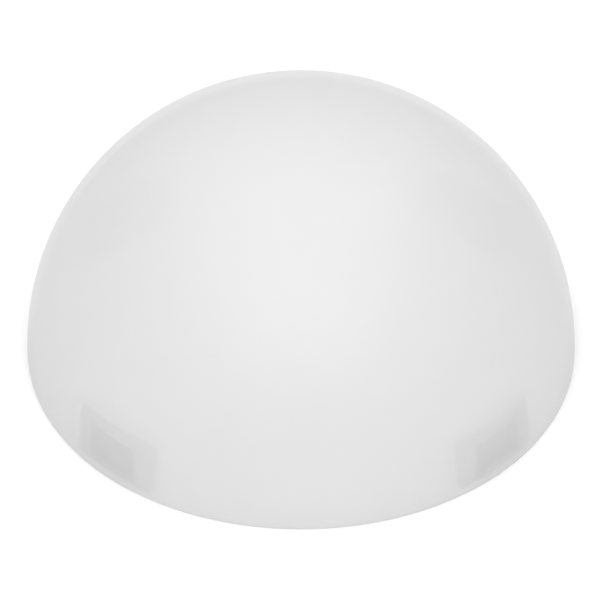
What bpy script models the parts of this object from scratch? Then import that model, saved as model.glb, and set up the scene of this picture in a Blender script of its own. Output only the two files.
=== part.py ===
"""Dome diffuser that magnets hold on the front of a round flash head.

A half sphere of milky plastic, hollow and open below, stands on its flat rim.
Inside the wall, at four equal places round the rim, a small plastic holder is
bonded to the wall, and each holder clasps one flat block magnet against it.
A holder is open below, so its magnet's lower face shows just above the rim.
The origin is at the centre of the rim plane, +Z points to the crown, and -Y
is the front, midway between two holders.
"""

import math

import bmesh
import bpy
from mathutils import Matrix, Vector

MM = 0.001

# The moulded dome
DOME_RADIUS = 40.0 * MM
WALL = 1.0 * MM
RIM_ROUNDING = 0.25 * MM
DOME_SEGMENTS = 72
ARC_STEPS = 18
ROUNDING_STEPS = 3

# The magnets, plain flat blocks that stand on edge behind the wall
MAGNET_WIDTH = 8.2 * MM
MAGNET_HEIGHT = 5.6 * MM
MAGNET_THICKNESS = 2.0 * MM
MAGNET_ROUNDING = 0.25 * MM
MAGNET_LIFT = 0.3 * MM

# The holders that clasp them, open below and towards the wall
HOLDER_WIDTH = 14.0 * MM
HOLDER_HEIGHT = 7.5 * MM
HOLDER_BACK_WALL = 0.8 * MM
HOLDER_ROUNDING = 0.8 * MM
BOND_GAP = 0.3 * MM
MAGNET_CLEARANCE = 0.3 * MM
BALL_SEGMENTS = 144

# What follows from them
INNER_RADIUS = DOME_RADIUS - WALL
BOND_RADIUS = INNER_RADIUS - BOND_GAP
MAGNET_TOP = MAGNET_LIFT + MAGNET_HEIGHT
# The wall leans in above the rim, so an upright flat magnet meets it first with its two upper corners.
MAGNET_FRONT = math.sqrt(BOND_RADIUS**2 - (MAGNET_WIDTH / 2) ** 2 - MAGNET_TOP**2)
MAGNET_BACK = MAGNET_FRONT - MAGNET_THICKNESS
RECESS_BACK = MAGNET_BACK - MAGNET_CLEARANCE
HOLDER_BACK = RECESS_BACK - HOLDER_BACK_WALL
PAST_THE_BODY = 2 * WALL

# Each holder's bearing round the rim, counted from +X towards +Y
STATIONS = {
    "front_left": 225.0,
    "front_right": 315.0,
    "back_right": 45.0,
    "back_left": 135.0,
}

MILKY_WHITE = (0.86, 0.86, 0.86, 1.0)
HOLDER_WHITE = (0.74, 0.74, 0.74, 1.0)
NICKEL = (0.60, 0.59, 0.57, 1.0)


def clear_scene():
    """Takes the start-up objects out of the file."""
    for obj in list(bpy.data.objects):
        bpy.data.objects.remove(obj)


def plain_material(name, colour, roughness, metallic=0.0, transmission=0.0):
    """A Principled material with the colour and sheen of one kind of surface."""
    material = bpy.data.materials.new(name)
    material.use_nodes = True
    shader = material.node_tree.nodes["Principled BSDF"]
    shader.inputs["Base Color"].default_value = colour
    shader.inputs["Roughness"].default_value = roughness
    shader.inputs["Metallic"].default_value = metallic
    shader.inputs["Transmission Weight"].default_value = transmission
    return material


def place(name, mesh, material, parent):
    """Makes a named object of a mesh, held by its parent."""
    obj = bpy.data.objects.new(name, mesh)
    bpy.context.scene.collection.objects.link(obj)
    obj.parent = parent
    if not mesh.materials:
        mesh.materials.append(material)
    return obj


def frame_empty(name, parent=None, bearing=0.0):
    """An empty that carries the pieces at one place round the dome's axis."""
    empty = bpy.data.objects.new(name, None)
    bpy.context.scene.collection.objects.link(empty)
    empty.parent = parent
    empty.rotation_euler.z = math.radians(bearing)
    return empty


def mesh_of(bm, name):
    """Turns the edited shape into a mesh whose faces point outwards."""
    bmesh.ops.recalc_face_normals(bm, faces=bm.faces)
    mesh = bpy.data.meshes.new(name)
    bm.to_mesh(mesh)
    bm.free()
    return mesh


def arc(centre, radius, start, end, steps):
    """Points (distance from the axis, height) along an arc, angles in degrees from level."""
    points = []
    for i in range(steps + 1):
        angle = math.radians(start + (end - start) * i / steps)
        points.append((centre[0] + radius * math.cos(angle), centre[1] + radius * math.sin(angle)))
    return points


def dome_profile():
    """The wall's outline from the crown's outside, round the rim, to the crown's inside."""
    outer_start = math.degrees(math.asin(RIM_ROUNDING / DOME_RADIUS))
    inner_start = math.degrees(math.asin(RIM_ROUNDING / INNER_RADIUS))
    outside = arc((0, 0), DOME_RADIUS, 90, outer_start, ARC_STEPS)
    outer_edge = arc((DOME_RADIUS - RIM_ROUNDING, RIM_ROUNDING), RIM_ROUNDING, 0, -90, ROUNDING_STEPS)
    inner_edge = arc((INNER_RADIUS + RIM_ROUNDING, RIM_ROUNDING), RIM_ROUNDING, -90, -180, ROUNDING_STEPS)
    inside = arc((0, 0), INNER_RADIUS, inner_start, 90, ARC_STEPS)
    return outside + outer_edge[1:] + inner_edge[:-1] + inside


def dome_mesh():
    """The moulded half sphere, turned from its wall's outline."""
    bm = bmesh.new()
    verts = [bm.verts.new((r, 0, z)) for r, z in dome_profile()]
    edges = [bm.edges.new(pair) for pair in zip(verts, verts[1:])]
    bmesh.ops.spin(
        bm,
        geom=verts + edges,
        cent=(0, 0, 0),
        axis=(0, 0, 1),
        angle=2 * math.pi,
        steps=DOME_SEGMENTS,
    )
    bmesh.ops.remove_doubles(bm, verts=bm.verts, dist=0.001 * MM)
    mesh = mesh_of(bm, "dome_shell")
    mesh.shade_smooth()
    mesh.set_sharp_from_angle(angle=math.radians(50))
    return mesh


def block(low, high):
    """A rectangular block between two corners."""
    bm = bmesh.new()
    size = Vector(high) - Vector(low)
    middle = (Vector(high) + Vector(low)) / 2
    bmesh.ops.create_cube(bm, size=1, matrix=Matrix.Translation(middle) @ Matrix.Diagonal((*size, 1)))
    return bm


def bevel_edges(bm, edges, width, segments):
    """Rounds the chosen edges of a block."""
    bmesh.ops.bevel(
        bm,
        geom=edges,
        offset=width,
        segments=segments,
        profile=0.5,
        affect="EDGES",
        clamp_overlap=True,
    )


def magnet_mesh():
    """One flat block magnet, its edges all a little rounded, as plating leaves them."""
    half = MAGNET_WIDTH / 2
    bm = block((MAGNET_BACK, -half, MAGNET_LIFT), (MAGNET_FRONT, half, MAGNET_TOP))
    bevel_edges(bm, bm.edges[:], MAGNET_ROUNDING, 2)
    return mesh_of(bm, "magnet")


def holder_body():
    """The holder before it is fitted to the wall: a block rounded on its free side."""
    half = HOLDER_WIDTH / 2
    bm = block((HOLDER_BACK, -half, 0), (DOME_RADIUS, half, HOLDER_HEIGHT))
    free_side = [
        edge
        for edge in bm.edges
        if all(v.co.x < MAGNET_BACK for v in edge.verts) and any(v.co.z > MAGNET_LIFT for v in edge.verts)
    ]
    bevel_edges(bm, free_side, HOLDER_ROUNDING, 3)
    return mesh_of(bm, "holder_body")


def fitting_ball():
    """The ball that the holder's bonded face follows."""
    bm = bmesh.new()
    bmesh.ops.create_uvsphere(bm, u_segments=BALL_SEGMENTS, v_segments=BALL_SEGMENTS // 2, radius=BOND_RADIUS)
    return mesh_of(bm, "fitting_ball")


def recess_cutter():
    """The space that takes the magnet, open below and towards the dome's wall."""
    half = MAGNET_WIDTH / 2 + MAGNET_CLEARANCE
    low = (RECESS_BACK, -half, -PAST_THE_BODY)
    high = (DOME_RADIUS + PAST_THE_BODY, half, MAGNET_TOP + MAGNET_CLEARANCE)
    return mesh_of(block(low, high), "recess_cutter")


def shaped(body_mesh, cuts):
    """The mesh that is left of a body after each (operation, cutter mesh)."""
    body = bpy.data.objects.new("body", body_mesh)
    scene_objects = bpy.context.scene.collection.objects
    scene_objects.link(body)
    helpers = []
    for operation, mesh in cuts:
        cutter = bpy.data.objects.new("cutter", mesh)
        cutter.hide_render = True
        cutter.display_type = "WIRE"
        scene_objects.link(cutter)
        helpers.append(cutter)
        modifier = body.modifiers.new(operation.lower(), "BOOLEAN")
        modifier.operation = operation
        modifier.object = cutter
        modifier.solver = "EXACT"
    graph = bpy.context.evaluated_depsgraph_get()
    result = bpy.data.meshes.new_from_object(body.evaluated_get(graph))
    for obj in [body, *helpers]:
        bpy.data.objects.remove(obj)
    return result


def holder_mesh():
    """One holder: its outer face follows the dome's wall, and its recess faces the wall."""
    mesh = shaped(holder_body(), [("INTERSECT", fitting_ball()), ("DIFFERENCE", recess_cutter())])
    mesh.name = "magnet_holder"
    return mesh


def build():
    clear_scene()
    milky = plain_material("milky_polycarbonate", MILKY_WHITE, roughness=0.55, transmission=0.6)
    holder_plastic = plain_material("holder_plastic", HOLDER_WHITE, roughness=0.5)
    nickel = plain_material("nickel_plating", NICKEL, roughness=0.3, metallic=1.0)
    axis = frame_empty("dome_axis")
    place("dome_shell", dome_mesh(), milky, axis)
    holder, magnet = holder_mesh(), magnet_mesh()
    for where, bearing in STATIONS.items():
        station = frame_empty("station_" + where, axis, bearing)
        place("magnet_holder_" + where, holder, holder_plastic, station)
        place("magnet_" + where, magnet, nickel, station)


build()
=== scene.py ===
"""The looks of the dome diffuser: its milky matt wall, and the magnets and holders that show through it.

Everything is in metres, in the frame of the CAD nodes. The origin is the centre of the rim, +Z points to the
crown, and -Y is the front, midway between two holders.
"""

import math

import bpy
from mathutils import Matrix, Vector


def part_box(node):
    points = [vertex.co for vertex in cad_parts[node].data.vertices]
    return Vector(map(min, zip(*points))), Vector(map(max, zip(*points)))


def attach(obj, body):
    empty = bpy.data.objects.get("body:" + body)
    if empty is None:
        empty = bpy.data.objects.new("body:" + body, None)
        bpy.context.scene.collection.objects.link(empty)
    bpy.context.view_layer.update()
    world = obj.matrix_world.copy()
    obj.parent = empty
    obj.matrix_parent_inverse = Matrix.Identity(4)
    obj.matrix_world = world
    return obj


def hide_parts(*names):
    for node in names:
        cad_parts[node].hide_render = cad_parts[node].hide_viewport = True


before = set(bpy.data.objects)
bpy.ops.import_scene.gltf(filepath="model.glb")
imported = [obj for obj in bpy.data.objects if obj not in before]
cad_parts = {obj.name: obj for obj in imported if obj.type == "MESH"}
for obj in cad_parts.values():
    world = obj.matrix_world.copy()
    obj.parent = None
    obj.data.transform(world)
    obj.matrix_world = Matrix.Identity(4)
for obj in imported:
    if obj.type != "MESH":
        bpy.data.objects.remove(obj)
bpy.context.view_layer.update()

# A millimetre, and a length too small to matter
MM = 0.001
HAIR = 0.001 * MM

# The dome, whose radius comes from the frame
DOME_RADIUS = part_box("dome_shell")[1].z
WALL = 1.0 * MM
RIM_ROUNDING = 0.25 * MM
DOME_SEGMENTS = 192
DOME_RINGS = 96

# The magnets, where the frame has them
MAGNET_WIDTH = 8.2 * MM
MAGNET_HEIGHT = 5.6 * MM
MAGNET_THICKNESS = 2.0 * MM
MAGNET_ROUNDING = 0.25 * MM
MAGNET_LIFT = 0.3 * MM

# Their holders, where the frame has them, but pressed closer to the wall by a thin film of adhesive
HOLDER_WIDTH = 14.0 * MM
HOLDER_HEIGHT = 7.5 * MM
HOLDER_BACK_WALL = 0.8 * MM
HOLDER_ROUNDING = 0.8 * MM
HOLDER_EDGE = 0.12 * MM
BOND_GAP = 0.3 * MM
FILM = 0.06 * MM
MAGNET_CLEARANCE = 0.3 * MM

# How far the adhesive wets the wall past a holder, and how far round that place its outline is cut
BOND_SPREAD = 1.0 * MM
BOND_SURROUND = 4 * MM

INNER_RADIUS = DOME_RADIUS - WALL
BOND_RADIUS = INNER_RADIUS - BOND_GAP
FILM_RADIUS = INNER_RADIUS - FILM
MAGNET_TOP = MAGNET_LIFT + MAGNET_HEIGHT
MAGNET_FRONT = math.sqrt(BOND_RADIUS**2 - (MAGNET_WIDTH / 2) ** 2 - MAGNET_TOP**2)
MAGNET_BACK = MAGNET_FRONT - MAGNET_THICKNESS
RECESS_BACK = MAGNET_BACK - MAGNET_CLEARANCE
RECESS_HALF = MAGNET_WIDTH / 2 + MAGNET_CLEARANCE
RECESS_TOP = MAGNET_TOP + MAGNET_CLEARANCE
HOLDER_BACK = RECESS_BACK - HOLDER_BACK_WALL
BOND_HALF = HOLDER_WIDTH / 2 + BOND_SPREAD
BOND_TOP = HOLDER_HEIGHT + BOND_SPREAD

# Where a holder's block is cut across and up: round the recess, and between, so that its front can curve
HOLDER_CUTS_ACROSS = [-5.7 * MM, -RECESS_HALF, -2.2 * MM, 0, 2.2 * MM, RECESS_HALF, 5.7 * MM]
HOLDER_CUTS_UP = [1.5 * MM, 3.1 * MM, 4.7 * MM, RECESS_TOP]

# The bead of adhesive along each magnet's lower edge, coloured dark as painted shade below the magnet, and
# where its bar is cut so that it can curve
BEAD_WIDTH = 8.0 * MM
BEAD_LOW = 0.1 * MM
BEAD_HIGH = 0.6 * MM
BEAD_ROUNDING = 0.1 * MM
BEAD_CUTS = [step * MM for step in (-3, -2, -1, 0, 1, 2, 3)]

# The angles, in degrees, above which an edge is eased and below which it is shaded smooth
EASED_ABOVE = 50
SMOOTH_BELOW = 40

# Each holder's bearing round the rim, counted from +X towards +Y
STATIONS = {
    "front_left": 225.0,
    "front_right": 315.0,
    "back_right": 45.0,
    "back_left": 135.0,
}

# The wall's finishes, on its outside, its inside and the places inside that adhesive wets: the share of light
# that goes straight through, the share of the rest that the milk spreads through, and the face's roughness
WALL_FINISHES = {
    "spark_textured_milky_polycarbonate": (0.3, 0.08, 0.4),
    "core_moulded_milky_polycarbonate": (0.255, 0.5, 0.5),
    "adhesive_wetted_milky_polycarbonate": (0.97, 0.3, 0.3),
}

# The numbers of the finishes on the inside and on its wetted places, among the dome's three
INSIDE = 1
WETTED = 2

# The number of the Mix node's output that gives a colour
MIXED_COLOUR = 2

# The camera, from the shape of the rim and of the crown in the photograph, in degrees, metres and pixels
VIEW_ELEVATION = 39.81
VIEW_AZIMUTH = -1.15
VIEW_DISTANCE = 626.8 * MM
PICTURE_PIXELS = 600
PIXELS_PER_RADIUS = 273.18
RIM_CENTRE_RIGHT = 1.05
RIM_CENTRE_DOWN = 43.64
SENSOR = 36.0
NEAREST_SEEN = 0.01
FURTHEST_SEEN = 20

# The white table, in metres, and the strength of the white room round it
TABLE_SIZE = 6
ROOM = 0.765

# The softbox above the table and the one beside the camera: watts, place, and size in metres
SOFTBOXES = {
    "softbox_overhead": (1.206, (0.0, 0.0, 0.5), (0.6, 0.6)),
    "softbox_front": (1.063, (-0.03, -0.45, 0.45), (0.6, 0.4)),
}


def linear(hex_colour):
    """Linear colour of an sRGB hex value such as '#F2F2EF'."""
    parts = [int(hex_colour[i : i + 2], 16) / 255 for i in (1, 3, 5)]
    return (*(c / 12.92 if c <= 0.04045 else ((c + 0.055) / 1.055) ** 2.4 for c in parts), 1.0)


def per_size(size):
    """A texture's scale that gives features of that size, in metres."""
    return 1 / size


def node(tree, kind, settings=None, links=None):
    """Adds one node, with settings on its sockets or on itself, and links from other nodes' outputs."""
    made = tree.nodes.new(kind)
    for name, value in (settings or {}).items():
        if name in made.inputs:
            made.inputs[name].default_value = value
        else:
            setattr(made, name, value)
    for name, output in (links or {}).items():
        tree.links.new(output, made.inputs[name])
    return made


def material(name):
    """A bare material and its node tree, which holds only the output."""
    made = bpy.data.materials.new(name)
    made.use_nodes = True
    tree = made.node_tree
    tree.nodes.remove(tree.nodes["Principled BSDF"])
    return made, tree, tree.nodes["Material Output"]


def flow_clouds(tree, place, size, detail, dark, pale):
    """The colour of broad soft clouds between two tones, as where a melt or a gel has flowed."""
    flow = node(tree, "ShaderNodeTexNoise", {"Scale": per_size(size), "Detail": detail}, {"Vector": place})
    cloud = node(
        tree,
        "ShaderNodeMix",
        {"data_type": "RGBA", "A": linear(dark), "B": linear(pale)},
        {"Factor": flow.outputs["Fac"]},
    )
    return cloud.outputs[MIXED_COLOUR]


def fine_relief(tree, place, size, detail, strength, depth):
    """The normal of a face with a fine uneven relief, such as a grain, a ripple or pits."""
    grain = node(tree, "ShaderNodeTexNoise", {"Scale": per_size(size), "Detail": detail}, {"Vector": place})
    bump = node(
        tree,
        "ShaderNodeBump",
        {"Strength": strength, "Distance": depth},
        {"Height": grain.outputs["Fac"]},
    )
    return bump.outputs["Normal"]


def milky_polycarbonate(name, straight, through, roughness):
    """One face of the moulded wall.

    Part of the light goes straight through, part is spread by the milky pigment, and the rest stays on the
    matt face. The pigment's flow makes broad clouds that are barely lighter and darker, and the mould's
    texture is a grain that breaks up every reflection. The grain is drawn coarser than the real one, to show.
    """
    made, tree, output = material(name)
    place = node(tree, "ShaderNodeTexCoord").outputs["Object"]
    colour = flow_clouds(tree, place, size=22 * MM, detail=2, dark="#E6E6E6", pale="#EAEAEA")
    normal = fine_relief(tree, place, size=0.45 * MM, detail=3, strength=0.12, depth=0.02 * MM)
    face = node(
        tree,
        "ShaderNodeBsdfPrincipled",
        {"Roughness": roughness, "IOR": 1.58},
        {"Base Color": colour, "Normal": normal},
    )
    glow = node(tree, "ShaderNodeBsdfTranslucent", {}, {"Color": colour})
    veil = node(tree, "ShaderNodeMixShader", {"Fac": through})
    tree.links.new(face.outputs["BSDF"], veil.inputs[1])
    tree.links.new(glow.outputs["BSDF"], veil.inputs[2])
    clear = node(tree, "ShaderNodeBsdfTransparent")
    wall = node(tree, "ShaderNodeMixShader", {"Fac": straight})
    tree.links.new(veil.outputs["Shader"], wall.inputs[1])
    tree.links.new(clear.outputs["BSDF"], wall.inputs[2])
    tree.links.new(wall.outputs["Shader"], output.inputs["Surface"])
    return made


def satin_moulded_polystyrene():
    """The holders' opaque plastic.

    It has a soft even sheen over a fine moulded grain, with faint flow clouds. The grain is drawn coarser
    than the real one, to show.
    """
    made, tree, output = material("satin_moulded_grey_polystyrene")
    place = node(tree, "ShaderNodeTexCoord").outputs["Object"]
    colour = flow_clouds(tree, place, size=4 * MM, detail=2, dark="#A0A0A0", pale="#A6A6A6")
    normal = fine_relief(tree, place, size=0.3 * MM, detail=3, strength=0.2, depth=0.02 * MM)
    shader = node(
        tree,
        "ShaderNodeBsdfPrincipled",
        {"Roughness": 0.5, "IOR": 1.55},
        {"Base Color": colour, "Normal": normal},
    )
    tree.links.new(shader.outputs["BSDF"], output.inputs["Surface"])
    return made


def dark_epoxy_painted_shade():
    """Cured epoxy from a syringe: a glossy cloudy grey gel with a rippled skin, its dark grey partly painted
    shade below each magnet.
    """
    made, tree, output = material("grey_epoxy_painted_shade")
    place = node(tree, "ShaderNodeTexCoord").outputs["Object"]
    # Painted shade: these dark greys let the bead stand for the shade below the magnet's lower edge
    colour = flow_clouds(tree, place, size=1.2 * MM, detail=3, dark="#787774", pale="#989793")
    normal = fine_relief(tree, place, size=0.8 * MM, detail=1, strength=0.3, depth=0.05 * MM)
    shader = node(
        tree,
        "ShaderNodeBsdfPrincipled",
        {"Roughness": 0.2, "IOR": 1.55},
        {"Base Color": colour, "Normal": normal},
    )
    tree.links.new(shader.outputs["BSDF"], output.inputs["Surface"])
    return made


def barrel_plated_nickel():
    """Nickel plated in a turning barrel, as on small magnets.

    It is a grey satin metal, hazed in patches and finely pitted by the tumbling. The pits are drawn coarser
    than real ones, to show.
    """
    made, tree, output = material("barrel_plated_satin_nickel")
    place = node(tree, "ShaderNodeTexCoord").outputs["Object"]
    patches = node(tree, "ShaderNodeTexNoise", {"Scale": per_size(1.5 * MM), "Detail": 4}, {"Vector": place})
    haze = node(
        tree,
        "ShaderNodeMapRange",
        {"To Min": 0.28, "To Max": 0.44},
        {"Value": patches.outputs["Fac"]},
    )
    normal = fine_relief(tree, place, size=0.18 * MM, detail=2, strength=0.15, depth=0.01 * MM)
    shader = node(
        tree,
        "ShaderNodeBsdfPrincipled",
        {"Base Color": linear("#6A6966"), "Metallic": 1.0},
        {"Roughness": haze.outputs["Result"], "Normal": normal},
    )
    tree.links.new(shader.outputs["BSDF"], output.inputs["Surface"])
    return made


def start_piece(name):
    """Names the primitive that was just added, fixes its place in its mesh, and opens it in edit mode."""
    bpy.ops.object.transform_apply(location=True, rotation=True, scale=True)
    piece = bpy.context.object
    piece.name = name
    piece.data.name = name
    bpy.ops.object.mode_set(mode="EDIT")
    return piece


def select_where(piece, kind, test):
    """Selects the open mesh's verts, edges or faces that pass a test of their points."""
    bpy.ops.mesh.select_all(action="DESELECT")
    bpy.ops.mesh.select_mode(type=kind)
    bpy.ops.object.mode_set(mode="OBJECT")
    mesh = piece.data
    elements = {"VERT": mesh.vertices, "EDGE": mesh.edges, "FACE": mesh.polygons}[kind]
    for element in elements:
        points = [element.co] if kind == "VERT" else [mesh.vertices[i].co for i in element.vertices]
        element.select = test(points)
    bpy.ops.object.mode_set(mode="EDIT")


def paint_where(piece, slot_number, test):
    """Gives the open mesh's faces that pass a test one of the piece's finishes."""
    select_where(piece, "FACE", test)
    piece.active_material_index = slot_number
    bpy.ops.object.material_slot_assign()


def within(points, axis, low, high):
    """True where every point lies between two values along an axis."""
    return all(low - HAIR <= point[axis] <= high + HAIR for point in points)


def cut_lines(axis, values):
    """Cuts the open mesh at several values along an axis."""
    normal = [0, 0, 0]
    normal[axis] = 1
    for value in values:
        place = [0, 0, 0]
        place[axis] = value
        bpy.ops.mesh.select_all(action="SELECT")
        bpy.ops.mesh.bisect(plane_co=place, plane_no=normal, threshold=HAIR)


def ease_edges(piece, width, segments):
    """Rounds a piece's sharp edges, as moulding or surface tension leaves them."""
    ease = piece.modifiers.new("ease", "BEVEL")
    ease.width = width
    ease.segments = segments
    ease.limit_method = "ANGLE"
    ease.angle_limit = math.radians(EASED_ABOVE)
    bpy.ops.object.modifier_apply(modifier=ease.name)


def finish_piece(piece, node_name=None):
    """Shades a piece, fixes its place in its mesh, and ties it to the frame, for a node where it has one."""
    bpy.ops.object.select_all(action="DESELECT")
    piece.select_set(True)
    bpy.context.view_layer.objects.active = piece
    bpy.ops.object.shade_smooth_by_angle(angle=math.radians(SMOOTH_BELOW))
    bpy.ops.object.transform_apply(location=True, rotation=True, scale=True)
    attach(piece, "root")
    if node_name:
        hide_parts(node_name)
    bpy.ops.object.select_all(action="DESELECT")


def rim_directions(bearing):
    """The directions outwards and along the rim at a bearing."""
    turn = math.radians(bearing)
    outward = Vector((math.cos(turn), math.sin(turn), 0))
    along = Vector((-math.sin(turn), math.cos(turn), 0))
    return outward, along


def is_round(points):
    """True for an edge that runs round the axis, and false for one that runs across the rim."""
    return abs(points[0].xy.length - points[1].xy.length) < 0.1 * WALL


def on_rim(points):
    """True where every point lies in the rim's plane."""
    return within(points, 2, 0, 0)


def is_inner(points):
    """True for a face or an edge of the wall's inner face."""
    return all(point.length < INNER_RADIUS + HAIR for point in points)


def bond_test(bearing, spare):
    """A test for inner faces in the place that adhesive wets at a bearing, or a spare width round it."""
    outward, along = rim_directions(bearing)

    def behind_holder(points):
        return is_inner(points) and all(
            point.dot(outward) > 0
            and abs(point.dot(along)) < BOND_HALF + spare
            and point.z < BOND_TOP + spare
            for point in points
        )

    return behind_holder


def cut_bond_outlines(dome):
    """Cuts the outline of each place that adhesive wets into the wall's inner face."""
    for bearing in STATIONS.values():
        along = rim_directions(bearing)[1]
        planes = (
            (along * BOND_HALF, along),
            (-along * BOND_HALF, along),
            (Vector((0, 0, BOND_TOP)), Vector((0, 0, 1))),
        )
        for place, normal in planes:
            select_where(dome, "FACE", bond_test(bearing, BOND_SURROUND))
            bpy.ops.mesh.bisect(plane_co=place, plane_no=normal, threshold=HAIR)


def model_dome(finishes):
    """A sphere cut at the rim, doubled inwards by the wall, its rim bridged and rounded.

    The outside, the inside and the four wetted places inside have a finish each.
    """
    bpy.ops.mesh.primitive_uv_sphere_add(segments=DOME_SEGMENTS, ring_count=DOME_RINGS, radius=DOME_RADIUS)
    dome = start_piece("milky_dome")
    bpy.ops.mesh.select_all(action="SELECT")
    bpy.ops.mesh.bisect(plane_co=(0, 0, 0), plane_no=(0, 0, 1), clear_inner=True, threshold=HAIR)
    bpy.ops.mesh.select_all(action="SELECT")
    bpy.ops.mesh.duplicate()
    inward = INNER_RADIUS / DOME_RADIUS
    bpy.ops.transform.resize(value=(inward, inward, inward), center_override=(0, 0, 0))
    bpy.ops.mesh.flip_normals()
    select_where(dome, "EDGE", on_rim)
    bpy.ops.mesh.bridge_edge_loops()
    select_where(dome, "EDGE", lambda points: on_rim(points) and is_round(points))
    bpy.ops.mesh.bevel(offset=RIM_ROUNDING, segments=4, affect="EDGES")
    cut_bond_outlines(dome)
    for finish in finishes:
        dome.data.materials.append(finish)
    paint_where(dome, INSIDE, is_inner)
    for bearing in STATIONS.values():
        paint_where(dome, WETTED, bond_test(bearing, HAIR))
    bpy.ops.object.mode_set(mode="OBJECT")
    finish_piece(dome, "dome_shell")


def open_recess(holder):
    """Takes the recess out of the block: open below and in front, with a roof, two sides and a back."""
    select_where(holder, "FACE", is_recess_opening)
    bpy.ops.mesh.delete(type="FACE")
    select_where(holder, "EDGE", is_recess_mouth)
    bpy.ops.mesh.extrude_edges_move(TRANSFORM_OT_translate={"value": (RECESS_BACK - DOME_RADIUS, 0, 0)})
    bpy.ops.mesh.select_all(action="SELECT")
    bpy.ops.mesh.remove_doubles(threshold=HAIR)
    select_where(holder, "EDGE", is_recess_back)
    bpy.ops.mesh.edge_face_add()
    bpy.ops.mesh.select_all(action="SELECT")
    bpy.ops.mesh.normals_make_consistent(inside=False)


def in_recess_outline(points):
    """True where every point lies in the recess's outline, seen from the front."""
    return within(points, 1, -RECESS_HALF, RECESS_HALF) and within(points, 2, 0, RECESS_TOP)


def is_recess_opening(points):
    """The block's front and lower faces that the recess opens."""
    front = within(points, 0, DOME_RADIUS, DOME_RADIUS)
    below = within(points, 2, 0, 0) and within(points, 0, RECESS_BACK, DOME_RADIUS)
    return in_recess_outline(points) and (front or below)


def is_recess_mouth(points):
    """The front edges round the recess: its two sides and its top, but not its open lower end."""
    middle = sum(points, Vector()) / len(points)
    side = abs(abs(middle.y) - RECESS_HALF) < HAIR
    top = abs(middle.z - RECESS_TOP) < HAIR
    return in_recess_outline(points) and within(points, 0, DOME_RADIUS, DOME_RADIUS) and (side or top)


def is_recess_back(points):
    """The edges round the recess's back: its two sides, its roof and its lower end."""
    return in_recess_outline(points) and within(points, 0, RECESS_BACK, RECESS_BACK)


def fit_to_wall(piece):
    """Brings a block's front points back onto the film of adhesive that lies on the wall's inner face."""
    select_where(piece, "VERT", lambda points: within(points, 0, DOME_RADIUS, DOME_RADIUS))
    bpy.ops.object.vertex_group_add()
    bpy.ops.object.vertex_group_assign()
    bpy.ops.object.mode_set(mode="OBJECT")
    bpy.ops.mesh.primitive_uv_sphere_add(segments=DOME_SEGMENTS, ring_count=DOME_RINGS, radius=FILM_RADIUS)
    ball = bpy.context.object
    bpy.context.view_layer.objects.active = piece
    fit = piece.modifiers.new("fit", "SHRINKWRAP")
    fit.target = ball
    fit.wrap_method = "PROJECT"
    fit.use_project_x = True
    fit.use_positive_direction = False
    fit.use_negative_direction = True
    fit.vertex_group = piece.vertex_groups[0].name
    bpy.ops.object.modifier_apply(modifier=fit.name)
    bpy.data.objects.remove(ball)
    piece.vertex_groups.clear()


def is_free_edge(points):
    """The block's edges on its free side, all but the one in the rim's plane."""
    return within(points, 0, HOLDER_BACK, HOLDER_BACK) and not on_rim(points)


def model_holder(finish):
    """A block rounded on its free side, opened for the magnet, fitted to the wall, and eased at its edges."""
    depth = DOME_RADIUS - HOLDER_BACK
    middle = (HOLDER_BACK + depth / 2, 0, HOLDER_HEIGHT / 2)
    bpy.ops.mesh.primitive_cube_add(size=1, location=middle, scale=(depth, HOLDER_WIDTH, HOLDER_HEIGHT))
    holder = start_piece("magnet_holder")
    select_where(holder, "EDGE", is_free_edge)
    bpy.ops.mesh.bevel(offset=HOLDER_ROUNDING, segments=5, affect="EDGES")
    cut_lines(0, [RECESS_BACK])
    cut_lines(1, HOLDER_CUTS_ACROSS)
    cut_lines(2, HOLDER_CUTS_UP)
    open_recess(holder)
    fit_to_wall(holder)
    ease_edges(holder, HOLDER_EDGE, segments=2)
    holder.data.materials.append(finish)
    return holder


def model_magnet(finish):
    """A flat block whose edges the tumbling and the plating have rounded."""
    middle = (MAGNET_FRONT - MAGNET_THICKNESS / 2, 0, MAGNET_LIFT + MAGNET_HEIGHT / 2)
    size = (MAGNET_THICKNESS, MAGNET_WIDTH, MAGNET_HEIGHT)
    bpy.ops.mesh.primitive_cube_add(size=1, location=middle, scale=size)
    magnet = start_piece("block_magnet")
    bpy.ops.mesh.select_all(action="SELECT")
    bpy.ops.mesh.bevel(offset=MAGNET_ROUNDING, segments=4, affect="EDGES")
    bpy.ops.object.mode_set(mode="OBJECT")
    magnet.data.materials.append(finish)
    return magnet


def model_bead(finish):
    """A short bar from the magnet's lower edge to the wall, rounded like a bead pressed out of the joint, its
    dark finish partly painted shade.
    """
    depth = DOME_RADIUS - MAGNET_FRONT - FILM
    middle = (DOME_RADIUS - depth / 2, 0, (BEAD_LOW + BEAD_HIGH) / 2)
    bpy.ops.mesh.primitive_cube_add(size=1, location=middle, scale=(depth, BEAD_WIDTH, BEAD_HIGH - BEAD_LOW))
    bead = start_piece("adhesive_bead_painted_shade")
    cut_lines(1, BEAD_CUTS)
    fit_to_wall(bead)
    ease_edges(bead, BEAD_ROUNDING, segments=3)
    bead.data.materials.append(finish)
    return bead


def set_round_rim(first, node_start=None):
    """Copies a piece to every station round the rim, and takes the first one away."""
    for where, bearing in STATIONS.items():
        bpy.ops.object.select_all(action="DESELECT")
        first.select_set(True)
        bpy.context.view_layer.objects.active = first
        bpy.ops.object.duplicate()
        piece = bpy.context.object
        piece.name = f"{first.name}_at_{where}"
        piece.data.name = piece.name
        piece.rotation_euler.z = math.radians(bearing)
        finish_piece(piece, node_start + where if node_start else None)
    bpy.data.objects.remove(first)


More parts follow.
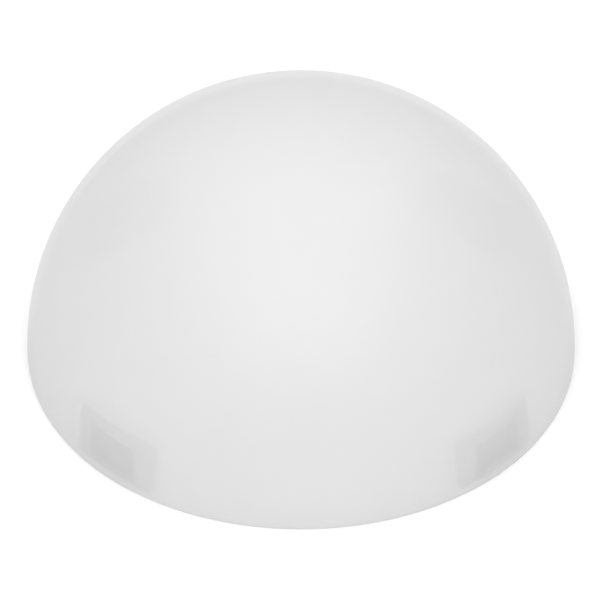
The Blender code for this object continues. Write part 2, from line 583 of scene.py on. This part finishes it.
def point_camera():
    """The camera, at the photograph's viewing angle and with its slight perspective."""
    bearing = math.radians(VIEW_AZIMUTH)
    lift = math.radians(VIEW_ELEVATION)
    away = Vector(
        (math.sin(bearing) * math.cos(lift), -math.cos(bearing) * math.cos(lift), math.sin(lift))
    )
    camera = bpy.data.objects.new("camera", bpy.data.cameras.new("camera"))
    bpy.context.scene.collection.objects.link(camera)
    camera.rotation_euler = away.to_track_quat("Z", "Y").to_euler()
    turn = camera.rotation_euler.to_matrix()
    pixel = DOME_RADIUS / PIXELS_PER_RADIUS
    aim = turn @ Vector((-RIM_CENTRE_RIGHT * pixel, RIM_CENTRE_DOWN * pixel, 0))
    camera.location = aim + away * VIEW_DISTANCE
    camera.data.sensor_width = SENSOR
    camera.data.lens = SENSOR * VIEW_DISTANCE / (PICTURE_PIXELS * pixel)
    camera.data.clip_start = NEAREST_SEEN
    camera.data.clip_end = FURTHEST_SEEN
    bpy.context.scene.camera = camera


def lay_table():
    """A white table that stands for the photograph's white ground."""
    bpy.ops.mesh.primitive_plane_add(size=TABLE_SIZE)
    table = bpy.context.object
    table.name = "floor"
    made, tree, output = material("matt_white_painted_table")
    shader = node(tree, "ShaderNodeBsdfPrincipled", {"Base Color": linear("#F7F7F7"), "Roughness": 0.8})
    tree.links.new(shader.outputs["BSDF"], output.inputs["Surface"])
    table.data.materials.append(made)


def light_room():
    """A white room that lights the object evenly from all sides."""
    world = bpy.data.worlds.new("studio")
    world.use_nodes = True
    background = world.node_tree.nodes["Background"]
    background.inputs["Color"].default_value = (1, 1, 1, 1)
    background.inputs["Strength"].default_value = ROOM
    bpy.context.scene.world = world


def hang_softbox(name, energy, place, size):
    """A rectangular softbox at a place, turned towards the dome."""
    light = bpy.data.objects.new(name, bpy.data.lights.new(name, "AREA"))
    light.data.shape = "RECTANGLE"
    light.data.size, light.data.size_y = size
    light.data.energy = energy
    light.location = place
    light.rotation_euler = Vector(place).to_track_quat("Z", "Y").to_euler()
    bpy.context.scene.collection.objects.link(light)


def light_studio():
    """The room and its softboxes, with light paths long enough for a hollow wall, and colours as they are."""
    light_room()
    for name, (energy, place, size) in SOFTBOXES.items():
        hang_softbox(name, energy, place, size)
    scene = bpy.context.scene
    scene.cycles.max_bounces = 24
    scene.cycles.diffuse_bounces = 12
    scene.cycles.transmission_bounces = 24
    scene.cycles.transparent_max_bounces = 16
    scene.view_settings.view_transform = "Standard"


def build():
    """The dome, and the holder, the magnet and the bead at each station."""
    bpy.ops.object.select_all(action="DESELECT")
    model_dome([milky_polycarbonate(name, *values) for name, values in WALL_FINISHES.items()])
    set_round_rim(model_holder(satin_moulded_polystyrene()), "magnet_holder_")
    set_round_rim(model_magnet(barrel_plated_nickel()), "magnet_")
    set_round_rim(model_bead(dark_epoxy_painted_shade()))


build()
lay_table()
light_studio()
point_camera()
